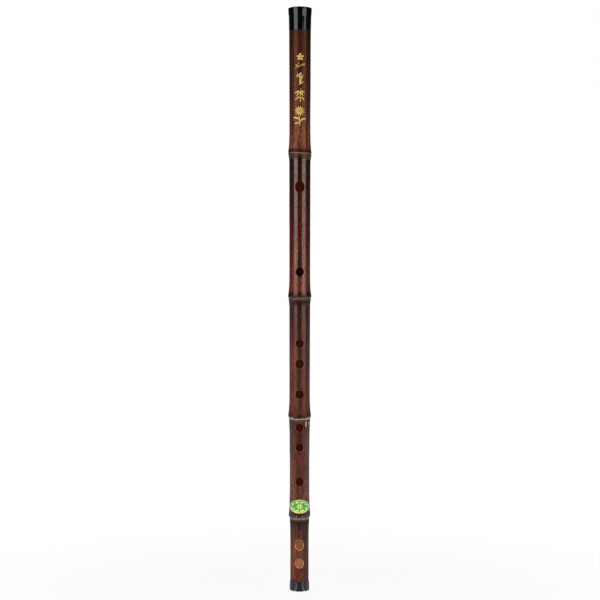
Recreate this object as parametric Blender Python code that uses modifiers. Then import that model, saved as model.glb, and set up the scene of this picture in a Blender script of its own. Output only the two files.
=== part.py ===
"""A dizi, the transverse bamboo flute, standing upright on its tail end.

The origin is the centre of the tail end's flat face. +Z runs along the bore to the head, and the
blow hole, membrane hole and finger holes face -Y. The culm is bored through and rebated at both
ends, where a flared cap and a flared ring are pushed on. A cork stopper closes the air column.
"""

import math
from collections import namedtuple

import bmesh
import bpy

MM = 0.001
FACETS = 48  # round every turned piece
HOLE_FACETS = 32
GAP = 0.3 * MM  # between pieces that touch

# The culm, from head to tail
LENGTH = 640 * MM
HEAD_BORE = 16.0 * MM  # diameters: the bore narrows evenly from head to tail
TAIL_BORE = 14.5 * MM
CAP_EDGE = 614.5 * MM  # height of the head cap's lower edge
RING_EDGE = 11.3 * MM  # height of the tail ring's upper edge

# Natural nodes: the wood swells above each one, drops over a ledge to the pale scar that the sheath
# left, and keeps a smaller swell below
Node = namedtuple("Node", "height swell reach foot foot_reach")
NODES = (
    Node(481.1 * MM, 1.40 * MM, 9 * MM, 0.95 * MM, 6.3 * MM),
    Node(321.3 * MM, 1.25 * MM, 12 * MM, 0.50 * MM, 7 * MM),
    Node(189.1 * MM, 1.20 * MM, 13 * MM, 0.40 * MM, 9 * MM),
    Node(81.2 * MM, 1.10 * MM, 17 * MM, 0.45 * MM, 6 * MM),
)
SCAR_WIDTH = 0.8 * MM
SCAR_DEPTH = 0.25 * MM
LEDGE = 0.6 * MM  # height over which the crest falls to the scar
SWELL_STEPS = (2.1, 1.4, 0.9, 0.5, 0.2)  # where a swell is drawn, as shares of its reach
FOOT_STEPS = (0.9, 1.4, 2.1)

# Diameters of the internodes at their head and tail ends, before the nodes swell them
Internode = namedtuple("Internode", "head_diameter tail_diameter")
INTERNODES = (
    Internode(23.9 * MM, 22.4 * MM),
    Internode(23.1 * MM, 22.5 * MM),
    Internode(22.6 * MM, 21.6 * MM),
    Internode(21.6 * MM, 20.3 * MM),
    Internode(19.6 * MM, 19.5 * MM),
)

# Spigots, cap and ring
HEAD_SPIGOT = 20.4 * MM  # diameters
TAIL_SPIGOT = 17.2 * MM
CAP_MOUTH = 23.9 * MM
CAP_WAIST = 24.2 * MM
CAP_RIM = 26.0 * MM
CAP_RIM_ROUND = 0.9 * MM
CAP_FLARE = 12 * MM  # length over which the cap widens to its rim
CAP_END_WALL = 3.0 * MM
RING_NECK = 20.6 * MM
RING_RIM = 21.4 * MM
RING_RIM_ROUND = 1.3 * MM
ROUND_STEPS = 4
FLARE_STEPS = 4

# The stopper's face stands a little headward of the blow hole's edge
STOPPER_FACE = 456.1 * MM
STOPPER_LENGTH = 15 * MM
STOPPER_CHAMFER = 0.8 * MM

# Holes: height of the centre, width across the flute and length along it
Hole = namedtuple("Hole", "name height width length")
FRONT_HOLES = (
    Hole("blow_hole", 443.1 * MM, 9.5 * MM, 11.8 * MM),
    Hole("membrane_hole", 349.9 * MM, 8.3 * MM, 9.4 * MM),
    Hole("finger_hole_6", 271.5 * MM, 7.7 * MM, 8.4 * MM),
    Hole("finger_hole_5", 249.2 * MM, 8.3 * MM, 9.2 * MM),
    Hole("finger_hole_4", 215.9 * MM, 8.0 * MM, 9.5 * MM),
    Hole("finger_hole_3", 179.4 * MM, 7.8 * MM, 8.7 * MM),
    Hole("finger_hole_2", 157.8 * MM, 7.5 * MM, 8.4 * MM),
    Hole("finger_hole_1", 120.3 * MM, 8.1 * MM, 9.0 * MM),
    Hole("upper_end_hole", 51.1 * MM, 8.6 * MM, 10.9 * MM),
    Hole("lower_end_hole", 31.1 * MM, 8.8 * MM, 10.0 * MM),
)
BACK_HOLES = (
    Hole("upper_tassel_hole", 38.0 * MM, 7.5 * MM, 8.0 * MM),
    Hole("lower_tassel_hole", 18.5 * MM, 7.5 * MM, 8.0 * MM),
)
CUTTER_REACH = 20 * MM  # from the bore's axis to outside the wall

# The oval sticker, wrapped round the front
LABEL_HEIGHT = 93.0 * MM
LABEL_WIDTH = 29 * MM  # measured round the culm
LABEL_LENGTH = 15.2 * MM
LABEL_GAP = 0.15 * MM
LABEL_THICKNESS = 0.2 * MM
LABEL_COLUMNS = 20
LABEL_ROWS = 8


def clear_scene():
    for obj in list(bpy.data.objects):
        bpy.data.objects.remove(obj)


def make_collection(name, hidden=False):
    collection = bpy.data.collections.new(name)
    collection.hide_render = hidden
    bpy.context.scene.collection.children.link(collection)
    return collection


def make_material(name, colour, roughness, metallic=0.0):
    material = bpy.data.materials.new(name)
    material.use_nodes = True
    shader = material.node_tree.nodes["Principled BSDF"]
    shader.inputs["Base Color"].default_value = (*colour, 1.0)
    shader.inputs["Roughness"].default_value = roughness
    shader.inputs["Metallic"].default_value = metallic
    return material


def add_object(name, mesh, collection, material=None):
    obj = bpy.data.objects.new(name, mesh)
    collection.objects.link(obj)
    if material:
        mesh.materials.append(material)
    return obj


def turned(name, profile, collection, material):
    """A solid of revolution about Z. The profile is a closed loop of (radius, height), which runs
    down its outer side first. Points at radius 0 lie on the axis."""
    mesh = bpy.data.meshes.new(name)
    points = [(radius, 0.0, height) for radius, height in profile]
    on_axis = profile[0][0] == 0.0
    edges = [(i, i + 1) for i in range(len(points) - 1)]
    if not on_axis:
        edges.append((len(points) - 1, 0))
    mesh.from_pydata(points, edges, [])
    obj = add_object(name, mesh, collection, material)
    screw = obj.modifiers.new("Turn", "SCREW")
    screw.axis = "Z"
    screw.steps = FACETS
    screw.render_steps = FACETS
    screw.use_merge_vertices = True
    screw.merge_threshold = 0.01 * MM
    screw.use_smooth_shade = True
    return obj


def rounded_edge(centre_radius, centre_height, size, start, end):
    """Points of a quarter round in a profile, from one angle to another, in degrees."""
    points = []
    for step in range(ROUND_STEPS + 1):
        angle = math.radians(start + (end - start) * step / ROUND_STEPS)
        points.append(
            (centre_radius + size * math.cos(angle), centre_height + size * math.sin(angle))
        )
    return points


def bore_radius(height):
    share = height / LENGTH
    return (TAIL_BORE + (HEAD_BORE - TAIL_BORE) * share) / 2


def internode_radius(height):
    """Radius of the culm with no nodes on it: each internode tapers evenly between its ends."""
    tops = [CAP_EDGE] + [node.height for node in NODES]
    bottoms = [node.height for node in NODES] + [0.0]
    index = sum(height < node.height for node in NODES)
    share = (tops[index] - height) / (tops[index] - bottoms[index])
    ends = INTERNODES[index]
    return (ends.head_diameter + (ends.tail_diameter - ends.head_diameter) * share) / 2


def culm_radius(height):
    """Outer radius of the culm, with the swell of the node below it and the foot of the one above."""
    radius = internode_radius(height)
    for node in NODES:
        if height >= node.height:
            radius += node.swell * math.exp(-(((height - node.height) / node.reach) ** 2))
        else:
            radius += node.foot * math.exp(-(((node.height - height) / node.foot_reach) ** 2))
    return radius


def node_profile(node):
    """The culm's outline past one node, from above it to below it."""
    heights = [node.height + share * node.reach for share in SWELL_STEPS]
    points = [(culm_radius(height), height) for height in heights]
    points.append((culm_radius(node.height), node.height))
    scar_top = node.height - LEDGE
    scar_bottom = scar_top - SCAR_WIDTH
    points.append((culm_radius(scar_top) - SCAR_DEPTH, scar_top))
    points.append((culm_radius(scar_bottom) - SCAR_DEPTH, scar_bottom))
    foot_top = scar_bottom - SCAR_DEPTH
    heights = [foot_top] + [node.height - share * node.foot_reach for share in FOOT_STEPS]
    return points + [(culm_radius(height), height) for height in heights]


def tube_profile():
    head_end = LENGTH - CAP_END_WALL - GAP
    points = [
        (HEAD_SPIGOT / 2, head_end),
        (HEAD_SPIGOT / 2, CAP_EDGE - GAP),
        (culm_radius(CAP_EDGE - GAP), CAP_EDGE - GAP),
    ]
    for node in NODES:
        points += node_profile(node)
    points += [
        (culm_radius(RING_EDGE + GAP), RING_EDGE + GAP),
        (TAIL_SPIGOT / 2, RING_EDGE + GAP),
        (TAIL_SPIGOT / 2, 0.0),
    ]
    inside = [0.0] + [node.height for node in reversed(NODES)] + [head_end]
    return points + [(bore_radius(height), height) for height in inside]


def hole_cutter(hole, side, collection):
    """An oval bar from the bore's axis out through one wall. side is -1 at the front, 1 at the back."""
    mesh = bpy.data.meshes.new(hole.name)
    bm = bmesh.new()
    bmesh.ops.create_cone(
        bm, cap_ends=True, segments=HOLE_FACETS, radius1=0.5, radius2=0.5, depth=CUTTER_REACH
    )
    bm.to_mesh(mesh)
    bm.free()
    cutter = add_object(hole.name + "_cutter", mesh, collection)
    cutter.rotation_euler.x = math.pi / 2
    cutter.scale = (hole.width, hole.length, 1.0)
    cutter.location = (0.0, side * CUTTER_REACH / 2, hole.height)
    cutter.hide_render = True
    cutter.display_type = "WIRE"
    return cutter


def make_bamboo_tube(parts, cutters, material):
    tube = turned("bamboo_tube", tube_profile(), parts, material)
    sides = [(hole, -1) for hole in FRONT_HOLES] + [(hole, 1) for hole in BACK_HOLES]
    for hole, side in sides:
        cut = tube.modifiers.new(hole.name, "BOOLEAN")
        cut.operation = "DIFFERENCE"
        cut.solver = "EXACT"
        cut.object = hole_cutter(hole, side, cutters)
    return tube


def make_head_cap(parts, material):
    """A closed cap whose outside is nearly straight and flares to a rim at the head end."""
    rim = CAP_RIM / 2
    waist = CAP_WAIST / 2
    rim_base = LENGTH - CAP_RIM_ROUND
    flare = []
    for step in range(1, FLARE_STEPS + 1):
        share = 1 - step / FLARE_STEPS
        flare.append((waist + (rim - waist) * share**2, rim_base - CAP_FLARE * (1 - share)))
    cavity = HEAD_SPIGOT / 2 + GAP
    profile = (
        [(0.0, LENGTH)]
        + rounded_edge(rim - CAP_RIM_ROUND, rim_base, CAP_RIM_ROUND, 90, 0)
        + flare
        + [
            (CAP_MOUTH / 2, CAP_EDGE),
            (cavity, CAP_EDGE),
            (cavity, LENGTH - CAP_END_WALL),
            (0.0, LENGTH - CAP_END_WALL),
        ]
    )
    return turned("head_cap", profile, parts, material)


def make_tail_ring(parts, material):
    """An open ferrule that flares to a rounded rim at the tail end."""
    bore = TAIL_SPIGOT / 2 + GAP
    rim_centre = RING_RIM / 2 - RING_RIM_ROUND
    profile = (
        [(bore, RING_EDGE), (RING_NECK / 2, RING_EDGE)]
        + rounded_edge(rim_centre, RING_RIM_ROUND, RING_RIM_ROUND, 0, -90)
        + [(bore, 0.0)]
    )
    return turned("tail_ring", profile, parts, material)


def make_stopper(parts, material):
    """The cork, chamfered at both ends. Its origin is on the slide axis at its face."""
    radius = bore_radius(STOPPER_FACE) - GAP
    profile = [
        (0.0, STOPPER_LENGTH),
        (radius - STOPPER_CHAMFER, STOPPER_LENGTH),
        (radius, STOPPER_LENGTH - STOPPER_CHAMFER),
        (radius, STOPPER_CHAMFER),
        (radius - STOPPER_CHAMFER, 0.0),
        (0.0, 0.0),
    ]
    stopper = turned("stopper", profile, parts, material)
    stopper.location.z = STOPPER_FACE
    return stopper


def make_label(parts, material):
    """A thin oval, cut flat and wrapped round the culm's front with its long side round it."""
    mesh = bpy.data.meshes.new("label")
    bm = bmesh.new()
    bmesh.ops.create_grid(bm, x_segments=LABEL_COLUMNS, y_segments=LABEL_ROWS, size=1.0)
    wrap_radius = culm_radius(LABEL_HEIGHT)
    for vertex in bm.verts:
        u, v, _ = vertex.co
        across = LABEL_WIDTH / 2 * u * math.sqrt(1 - v * v / 2)
        height = LABEL_HEIGHT + LABEL_LENGTH / 2 * v * math.sqrt(1 - u * u / 2)
        angle = across / wrap_radius
        radius = culm_radius(height) + LABEL_GAP
        vertex.co = (radius * math.sin(angle), -radius * math.cos(angle), height)
    bm.to_mesh(mesh)
    bm.free()
    label = add_object("label", mesh, parts, material)
    solidify = label.modifiers.new("Foil", "SOLIDIFY")
    solidify.thickness = LABEL_THICKNESS
    solidify.offset = 1.0
    return label


def main():
    clear_scene()
    parts = make_collection("dizi")
    cutters = make_collection("cutters", hidden=True)
    lacquered_bamboo = make_material("lacquered_bamboo", (0.09, 0.022, 0.012), 0.22)
    black_horn = make_material("black_horn", (0.006, 0.006, 0.008), 0.2)
    cork = make_material("cork", (0.42, 0.25, 0.13), 0.85)
    green_foil = make_material("green_foil", (0.07, 0.45, 0.06), 0.35, 0.4)
    make_bamboo_tube(parts, cutters, lacquered_bamboo)
    make_head_cap(parts, black_horn)
    make_tail_ring(parts, black_horn)
    make_stopper(parts, cork)
    make_label(parts, green_foil)


main()
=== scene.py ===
import math
from collections import namedtuple

import bmesh
import bpy
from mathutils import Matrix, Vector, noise


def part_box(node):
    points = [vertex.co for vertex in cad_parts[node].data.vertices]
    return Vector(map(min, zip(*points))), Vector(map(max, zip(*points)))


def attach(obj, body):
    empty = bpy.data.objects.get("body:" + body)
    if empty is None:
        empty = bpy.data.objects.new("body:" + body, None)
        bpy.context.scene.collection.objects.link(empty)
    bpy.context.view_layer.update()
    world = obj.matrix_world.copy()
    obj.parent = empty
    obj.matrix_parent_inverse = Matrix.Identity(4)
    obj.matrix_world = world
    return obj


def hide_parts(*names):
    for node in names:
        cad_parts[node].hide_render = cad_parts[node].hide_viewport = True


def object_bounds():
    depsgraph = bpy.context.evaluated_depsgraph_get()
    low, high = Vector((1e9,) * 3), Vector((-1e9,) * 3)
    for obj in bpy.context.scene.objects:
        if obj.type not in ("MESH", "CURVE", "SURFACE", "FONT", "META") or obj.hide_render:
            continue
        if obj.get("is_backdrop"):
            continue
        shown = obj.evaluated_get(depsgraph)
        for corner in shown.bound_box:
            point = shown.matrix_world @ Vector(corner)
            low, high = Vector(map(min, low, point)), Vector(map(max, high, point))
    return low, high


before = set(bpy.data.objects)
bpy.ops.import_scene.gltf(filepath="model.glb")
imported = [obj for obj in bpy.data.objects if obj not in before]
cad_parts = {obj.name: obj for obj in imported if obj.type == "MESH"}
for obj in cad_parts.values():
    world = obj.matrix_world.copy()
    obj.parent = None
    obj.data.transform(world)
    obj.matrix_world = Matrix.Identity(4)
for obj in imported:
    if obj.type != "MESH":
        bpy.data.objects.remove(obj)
cad_low, cad_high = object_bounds()

# The culm is one length of bamboo, smoked dark and lacquered red-brown, with four natural nodes. It
# is bored through, drilled with ten oval holes in front and two behind, and rebated at both ends.
# Four small sprigs are cut into its head joint with a graver and filled with gold.

MM = 0.001
GAP = 0.3 * MM  # between pieces that touch
CULM_FACETS = 96
CULM_RINGS = 620
CAP_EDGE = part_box("head_cap")[0].z
RING_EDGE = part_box("tail_ring")[1].z
HEAD_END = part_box("bamboo_tube")[1].z
HEAD_BORE = 16.0 * MM  # diameters: the bore narrows evenly from head to tail
TAIL_BORE = 14.5 * MM
HEAD_SPIGOT = 20.4 * MM
TAIL_SPIGOT = 17.2 * MM

# A node: the wood swells above it, drops over a ledge to the sheath's scar, whose height is given,
# and keeps a smaller swell, its foot, below. The scar leans, and is lowest at an angle from the front.
Node = namedtuple("Node", "height ledge swell reach foot foot_reach lean lowest")
NODES = (
    Node(480.3 * MM, 1.6 * MM, 1.48 * MM, 8.4 * MM, 1.05 * MM, 5 * MM, 0.70 * MM, 90),
    Node(321.5 * MM, 2.6 * MM, 1.48 * MM, 7 * MM, 0.80 * MM, 5 * MM, 0.40 * MM, -10),
    Node(189.0 * MM, 4.2 * MM, 1.38 * MM, 7 * MM, 0.42 * MM, 11 * MM, 0.45 * MM, 5),
    Node(80.0 * MM, 4.6 * MM, 1.42 * MM, 12 * MM, 0.50 * MM, 11 * MM, 0.30 * MM, -60),
)
SCAR_WIDTH = 0.9 * MM
SCAR_DEPTH = 0.22 * MM
SCAR_EDGE = 0.2 * MM
SHOULDER = 0.6  # share of the ledge over which the wood drops to the scar
LEAN_REACH = 18 * MM  # how far along the culm a scar's lean bends the rings
RIPPLES = ((0.12 * MM, 3.0, 900), (0.08 * MM, 7.0, 400))  # of a scar: size, waves round it, shift

# Diameters of the internodes at their head and tail ends, before the nodes swell them
Internode = namedtuple("Internode", "head_diameter tail_diameter")
INTERNODES = (
    Internode(24.0 * MM, 22.7 * MM),
    Internode(23.4 * MM, 22.7 * MM),
    Internode(22.9 * MM, 22.2 * MM),
    Internode(22.25 * MM, 20.6 * MM),
    Internode(20.2 * MM, 20.1 * MM),
)

# Holes: height of the centre, width across the culm and length along it
Hole = namedtuple("Hole", "height width length")
FRONT_HOLES = (
    Hole(443.1 * MM, 10.2 * MM, 12.4 * MM),  # blow hole
    Hole(349.9 * MM, 8.4 * MM, 9.4 * MM),  # membrane hole
    Hole(271.5 * MM, 8.7 * MM, 9.6 * MM),  # six finger holes
    Hole(249.2 * MM, 9.0 * MM, 10.0 * MM),
    Hole(215.9 * MM, 9.0 * MM, 10.2 * MM),
    Hole(179.4 * MM, 8.7 * MM, 9.5 * MM),
    Hole(157.8 * MM, 8.4 * MM, 9.2 * MM),
    Hole(120.3 * MM, 8.8 * MM, 9.7 * MM),
    Hole(51.1 * MM, 8.8 * MM, 11.1 * MM),  # two end holes
    Hole(31.1 * MM, 9.0 * MM, 10.2 * MM),
)
BACK_HOLES = (Hole(38.0 * MM, 7.5 * MM, 8.0 * MM), Hole(18.5 * MM, 7.5 * MM, 8.0 * MM))
HOLE_FACETS = 48
HOLE_LIP = 0.65 * MM  # radius that a hole's rim is rounded to
LIP_TURN = math.radians(60)  # how far the rounding turns before it meets the culm's face
LIP_STEPS = 4
BAR_START = 2 * MM  # from the axis, inside the bore, where a hole's cutter begins
BAR_END = 15 * MM
BAR_FLARE = 1.5 * MM  # by which the cutter is wider once it is clear of the culm


class Wire:
    """An output of a node. Python's operators on it add the Math nodes that work them out."""

    def __init__(self, tree, socket):
        self.tree = tree
        self.socket = socket

    def math(self, operation, *others):
        values = dict(enumerate((self, *others)))
        return self.tree.add("ShaderNodeMath", {"operation": operation}, values)["Value"]

    def __add__(self, other):
        return self.math("ADD", other)

    def __sub__(self, other):
        return self.math("SUBTRACT", other)

    def __rsub__(self, other):
        values = {0: other, 1: self}
        return self.tree.add("ShaderNodeMath", {"operation": "SUBTRACT"}, values)["Value"]

    def __mul__(self, other):
        return self.math("MULTIPLY", other)

    def __truediv__(self, other):
        return self.math("DIVIDE", other)

    def __neg__(self):
        return self.math("MULTIPLY", -1.0)

    __radd__ = __add__
    __rmul__ = __mul__


class Tree:
    """A node tree, whose nodes all come from add()."""

    def __init__(self, tree):
        self.tree = tree
        tree.nodes.clear()

    def add(self, kind, settings=None, inputs=None):
        """A new node's outputs by name. An input is named, or counted where names repeat."""
        node = self.tree.nodes.new(kind)
        for name, value in (settings or {}).items():
            if name == "stops":
                ramp = node.color_ramp
                while len(ramp.elements) < len(value):
                    ramp.elements.new(1.0)
                for element, (place, colour) in zip(ramp.elements, value):
                    element.position = place
                    element.color = colour
            else:
                setattr(node, name, value)
        sockets = [socket for socket in node.inputs if socket.enabled]
        for key, value in (inputs or {}).items():
            found = sockets[key] if isinstance(key, int) else None
            found = found or next(socket for socket in sockets if socket.name == key)
            for each in value if isinstance(value, list) else [value]:
                if isinstance(each, Wire):
                    self.tree.links.new(each.socket, found)
                else:
                    found.default_value = each
        return {socket.name: Wire(self, socket) for socket in node.outputs if socket.enabled}

    def axes(self, vector):
        """A vector's X, Y and Z."""
        return self.add("ShaderNodeSeparateXYZ", {}, {"Vector": vector})

    def take(self, name, kind):
        """A named input of a geometry tree."""
        self.tree.interface.new_socket(name, in_out="INPUT", socket_type=kind)
        return self.add("NodeGroupInput")[name]

    def give(self, geometry):
        self.tree.interface.new_socket("Geometry", in_out="OUTPUT", socket_type="NodeSocketGeometry")
        self.add("NodeGroupOutput", {}, {"Geometry": geometry})


def exp(value):
    return value.math("EXPONENT") if isinstance(value, Wire) else math.exp(value)


def hypot(first, second):
    return (first * first + second * second).math("SQRT")


def past(value, level):
    """1 where value is over the level, and 0 elsewhere."""
    return value.math("GREATER_THAN", level) if isinstance(value, Wire) else float(value > level)


def ease(value, start, end):
    """0 before start, 1 after end, and a smooth step between."""
    if isinstance(value, Wire):
        values = {"Value": value, "From Min": start, "From Max": end}
        return value.tree.add("ShaderNodeMapRange", {"interpolation_type": "SMOOTHSTEP"}, values)["Result"]
    share = min(max((value - start) / (end - start), 0.0), 1.0)
    return share * share * (3 - 2 * share)


def hill(distance, reach):
    """1 at distance 0, falling away smoothly over the reach to either side."""
    share = distance / reach
    return exp(-(share * share))


def culm_radius(height):
    """Outer radius of the culm. Like the functions it uses, it works on numbers and on wires."""
    tops = [CAP_EDGE] + [node.height for node in NODES]
    bottoms = [node.height for node in NODES] + [0.0]
    radius = 0.0
    for ends, top, bottom in zip(INTERNODES, tops, bottoms):
        here = past(height, bottom) - past(height, top)
        share = (top - height) / (top - bottom)
        taper = ends.tail_diameter - ends.head_diameter
        radius = radius + here * (ends.head_diameter + taper * share) / 2
    for node in NODES:
        distance = height - node.height
        above = distance - node.ledge  # the widest point
        over = past(above, 0.0)
        drop = ease(distance, -SCAR_WIDTH / 2, node.ledge * SHOULDER)
        scar_bottom = ease(distance, -SCAR_WIDTH / 2 - SCAR_EDGE, -SCAR_WIDTH / 2)
        scar_top = ease(distance, SCAR_WIDTH / 2, SCAR_WIDTH / 2 + SCAR_EDGE)
        radius = radius + node.swell * (over * exp(above / -node.reach) + (1 - over) * drop)
        radius = radius + node.foot * (1 - drop) * hill(distance, node.foot_reach)
        radius = radius - SCAR_DEPTH * scar_bottom * (1 - scar_top)
    return radius


def scar_lean(angle, node):
    """How far a node's scar stands above its height, at an angle from the front."""
    ripple = 0.0
    for size, waves, shift in RIPPLES:
        ripple = ripple + size * (angle * waves + node.height * shift).math("SINE")
    return ripple - node.lean * (angle - math.radians(node.lowest)).math("COSINE")


def leaned(height, angle):
    """The height that a point of the culm had before its nodes were made to lean."""
    for node in NODES:
        height = height - scar_lean(angle, node) * hill(height - node.height, LEAN_REACH)
    return height


def seen(red, green, blue):
    """A colour as it is seen, in 8-bit sRGB, made linear for a shader."""
    levels = (red / 255, green / 255, blue / 255)
    linear = [v / 12.92 if v <= 0.04045 else ((v + 0.055) / 1.055) ** 2.4 for v in levels]
    return (*linear, 1.0)


def material_tree(name):
    """An empty material, its tree, and the place on the piece."""
    material = bpy.data.materials.new(name)
    material.use_nodes = True
    tree = Tree(material.node_tree)
    place = tree.add("ShaderNodeTexCoord")["Object"]
    return material, tree, place


def grain(tree, place, across, along, detail=3.0, roughness=0.55):
    """Noise drawn out along the flute: its features' sizes across and along it, in metres."""
    scale = (1 / across, 1 / across, 1 / along)
    stretched = tree.add("ShaderNodeMapping", {}, {"Vector": place, "Scale": scale})["Vector"]
    values = {"Vector": stretched, "Scale": 1.0, "Detail": detail, "Roughness": roughness}
    return tree.add("ShaderNodeTexNoise", {}, values)["Fac"]


def mix(factor, first, second, blend="MIX"):
    """A colour between two colours, by a wire."""
    settings = {"data_type": "RGBA", "blend_type": blend}
    return factor.tree.add("ShaderNodeMix", settings, {"Factor": factor, "A": first, "B": second})["Result"]


def bumped(tree, height, strength, distance):
    """The surface's normal, tilted by a height."""
    values = {"Strength": strength, "Distance": distance, "Height": height}
    return tree.add("ShaderNodeBump", {}, values)["Normal"]


def close_material(tree, inputs):
    """The Principled shader with its inputs, and the material's output."""
    shader = tree.add("ShaderNodeBsdfPrincipled", {}, inputs)["BSDF"]
    tree.add("ShaderNodeOutputMaterial", {}, {"Surface": shader})


# Lacquer over smoked bamboo. In each internode it is darkest under the upper node, reddens and
# lightens towards the tail, and ends in a dark band at the lower node's widest point. Its clear
# coat and its roughness change from the internode's top to its bottom.
Tones = namedtuple("Tones", "crown middle low band coat roughness")
TONES = (
    Tones(seen(46, 17, 8), seen(64, 27, 16), seen(102, 55, 39), seen(34, 11, 5), (0.04, 0.18), (0.36, 0.36)),
    Tones(seen(30, 8, 5), seen(62, 16, 11), seen(90, 38, 27), seen(38, 20, 14), (1.0, 0.62), (0.26, 0.28)),
    Tones(seen(40, 15, 14), seen(74, 31, 26), seen(78, 36, 28), seen(40, 15, 6), (0.4, 0.06), (0.3, 0.48)),
    Tones(seen(58, 25, 18), seen(80, 35, 30), seen(96, 52, 40), seen(36, 17, 19), (0.52, 0.66), (0.5, 0.5)),
    Tones(seen(36, 20, 27), seen(96, 54, 38), seen(98, 50, 38), seen(84, 44, 34), (0.26, 0.0), (0.45, 0.48)),
)
CROWN_DROP = 4 * MM  # under the node above, where the crown's tone is pure
LOW_RISE = 16 * MM  # above the node below, where the low tone is pure
BAND_RISE = 3 * MM  # above the widest point, where the dark band begins
GLOSS_INSET = 2 * MM  # from an internode's ends to where its coat and roughness are pure

lacquer, tree, place = material_tree("red_brown_lacquer")
axes = tree.axes(place)
angle = axes["X"].math("ARCTAN2", -axes["Y"])
height = leaned(axes["Z"], angle)
tops = [CAP_EDGE] + [node.height for node in NODES]
bottoms = [node.height for node in NODES] + [RING_EDGE]
ledges = [node.ledge for node in NODES] + [-BAND_RISE]
tone_stops = []
gloss_stops = []
for tones, top, bottom, ledge in reversed(list(zip(TONES, tops, bottoms, ledges))):
    for level, colour in (
        (bottom, tones.band),
        (bottom + ledge, tones.band),
        (bottom + ledge + BAND_RISE, tones.low),
        (bottom + LOW_RISE, tones.low),
        ((bottom + top) / 2, tones.middle),
        (top - CROWN_DROP, tones.crown),
    ):
        tone_stops.append((level / CAP_EDGE, colour))
    for level, end in ((bottom + GLOSS_INSET, 1), (top - GLOSS_INSET, 0)):
        gloss_stops.append((level / CAP_EDGE, (tones.coat[end], tones.roughness[end], 0.0, 1.0)))
share = height / CAP_EDGE
wander = (grain(tree, place, 14 * MM, 60 * MM, 2.0) - 0.5) * 0.01
colour = tree.add("ShaderNodeValToRGB", {"stops": tone_stops}, {"Fac": share + wander})["Color"]
fibre = grain(tree, place, 1.1 * MM, 40 * MM)
fine_fibre = grain(tree, place, 0.4 * MM, 8 * MM)
patch = grain(tree, place, 5 * MM, 35 * MM, 4.0, 0.6)
mottle = grain(tree, place, 1.6 * MM, 3.2 * MM, 2.0)
speck = grain(tree, place, 0.8 * MM, 1.3 * MM, 2.0)
spots = ease(speck, 0.54, 0.66)

# Sides of the culm that have smoked, reddened, worn or faded, each over its own heights
smoked_side = ease(axes["X"], 0.0, 7 * MM) * (1 - ease(height, 70 * MM, 110 * MM))
rosy_side = ease(axes["X"], 0.0, -8 * MM) * (1 - ease(height, 240 * MM, 290 * MM))
rosy_side = rosy_side * (0.4 + 0.6 * ease(height, 70 * MM, 90 * MM))
worn_edge = ease(axes["X"], -5 * MM, -10 * MM) * ease(height, 190 * MM, 240 * MM)
worn_edge = worn_edge * (1 - ease(height, 520 * MM, 580 * MM) * 0.8)
faded_side = ease(axes["X"], 1 * MM, 7 * MM) * hill(height - 150 * MM, 65 * MM)
for place_of_tint, tint in (
    (ease(patch, 0.46, 0.64) * ease(fibre, 0.4, 0.62), (1.9, 1.55, 1.65, 1.0)),  # light streaks
    (ease(patch, 0.5, 0.34), (0.6, 0.5, 0.55, 1.0)),
    (ease(fibre, 0.54, 0.36), (0.5, 0.45, 0.5, 1.0)),
    (ease(fine_fibre, 0.5, 0.66), (1.6, 1.5, 1.4, 1.0)),
    (ease(mottle, 0.5, 0.66), (1.6, 1.3, 1.35, 1.0)),
    (ease(mottle, 0.5, 0.36), (0.6, 0.65, 0.7, 1.0)),
    (spots, (0.5, 0.45, 0.45, 1.0)),
    (smoked_side, (0.5, 0.72, 0.9, 1.0)),
    (rosy_side, (1.5, 1.5, 1.7, 1.0)),
    (worn_edge, (1.45, 1.35, 1.35, 1.0)),
    (faded_side, (1.35, 1.6, 1.65, 1.0)),
):
    colour = mix(place_of_tint, colour, tint, "MULTIPLY")
gloss = tree.add("ShaderNodeValToRGB", {"stops": gloss_stops}, {"Fac": share})["Color"]
gloss = tree.add("ShaderNodeSeparateColor", {}, {"Color": gloss})

# What the lacquer shows at each node, by height from the scar: a dark band, the ledge under it in
# painted shade, the pale scar, the foot, and a painted shade below the foot. The clear coat is thin
# between the two heights of `dull` and pools on the ledge by the share `pool`; the scar rises by
# `flare` at the culm's sides.
NodeMarks = namedtuple(
    "NodeMarks", "dark band ledge scar top bottom foot foot_bottom shadow dull pool flare"
)
NODE_MARKS = (
    NodeMarks(
        seen(26, 7, 3), (0.3 * MM, 3.9 * MM), seen(26, 7, 3), seen(146, 112, 96), 0.4 * MM, -0.6 * MM,
        seen(60, 34, 20), -3.6 * MM, 0.5, (-8.5 * MM, 5.2 * MM), 0.0, 0.0,
    ),
    NodeMarks(
        seen(34, 18, 14), (2.2 * MM, 6.6 * MM), seen(62, 40, 32), seen(130, 100, 86), 0.3 * MM, -0.5 * MM,
        seen(74, 54, 48), -2.6 * MM, 0.9, (-11 * MM, 3.6 * MM), 0.0, 0.0,
    ),
    NodeMarks(
        seen(36, 12, 4), (1.0 * MM, 3.8 * MM), seen(44, 18, 9), seen(180, 154, 140), 0.6 * MM, -0.6 * MM,
        seen(80, 56, 45), -4.2 * MM, 0.5, (-7 * MM, 0.5 * MM), 0.6, 1.2 * MM,
    ),
    NodeMarks(
        seen(40, 18, 24), (1.0 * MM, 4.6 * MM), seen(44, 22, 27), seen(144, 122, 102), 0.8 * MM, -1.5 * MM,
        seen(70, 52, 48), -2.9 * MM, 0.8, (-7 * MM, 0.5 * MM), 0.4, 0.0,
    ),
)
EDGE_BLUR = 0.25 * MM
BAND_BLUR = 0.9 * MM
SHADOW_DROP = 3.5 * MM  # from the foot's bottom to the darkest of the shadow
SHADOW_REACH = 4 * MM
SHADOW_TINT = (0.4, 0.35, 0.4, 1.0)
BAND_COVER = 0.85  # how far the band hides what is under it
LEDGE_COVER = 0.8  # and the ledge's and the foot's tones
DULLING = 0.85  # share of the coat that is gone where it is thin
COAT_BLUR = 1 * MM
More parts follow.
